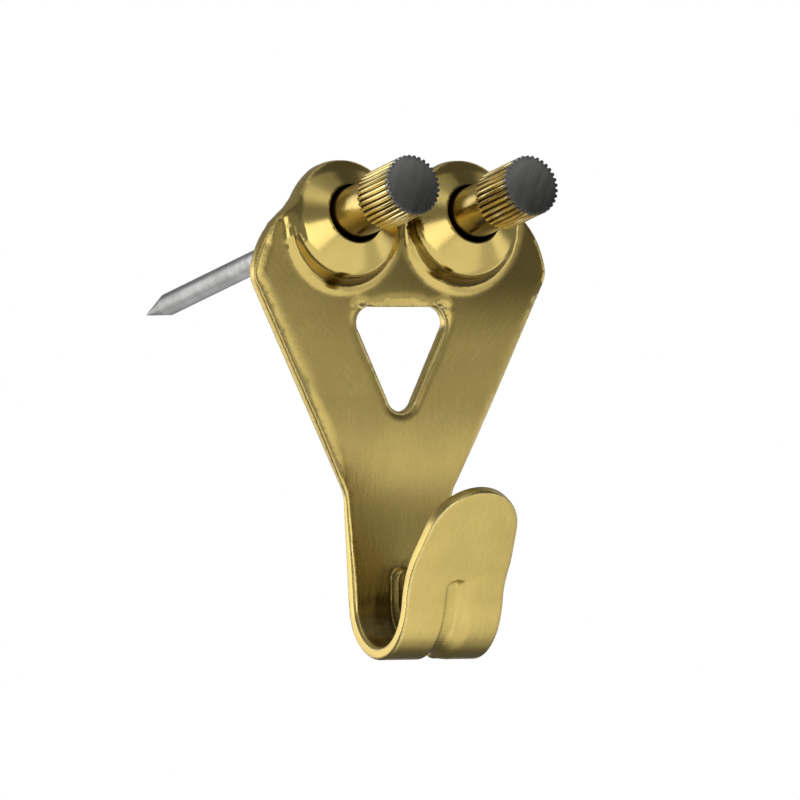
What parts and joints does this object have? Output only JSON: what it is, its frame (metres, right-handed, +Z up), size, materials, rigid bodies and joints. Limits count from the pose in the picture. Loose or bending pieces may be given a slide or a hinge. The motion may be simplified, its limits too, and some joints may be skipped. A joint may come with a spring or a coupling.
{
  "type": "picture hook",
  "caption": "Stamped brass-plated wall hook with a turned-up lip, held by nails with knurled brass heads that slope down into the wall.",
  "frame": {"origin": "back face of the plate, on its centre line, at the neck where the flared plate meets the strap", "axes": "+X to the right seen from the front, +Y into the wall, +Z up"},
  "size_m": [0.0282, 0.0441, 0.0413],
  "materials": {
    "plated_sheet": "satin brushed brass plating on steel sheet",
    "head_brass": "polished brass",
    "nail_steel": "bright drawn steel",
    "dark_cap": "dark grey satin"
  },
  "bodies": {
    "root": {"hook_plate": "plated_sheet", "left_nail_shank": "nail_steel", "right_nail_shank": "nail_steel", "left_nail_head": "head_brass", "right_nail_head": "head_brass", "left_head_cap": "dark_cap", "right_head_cap": "dark_cap"}
  },
  "joints": []
}
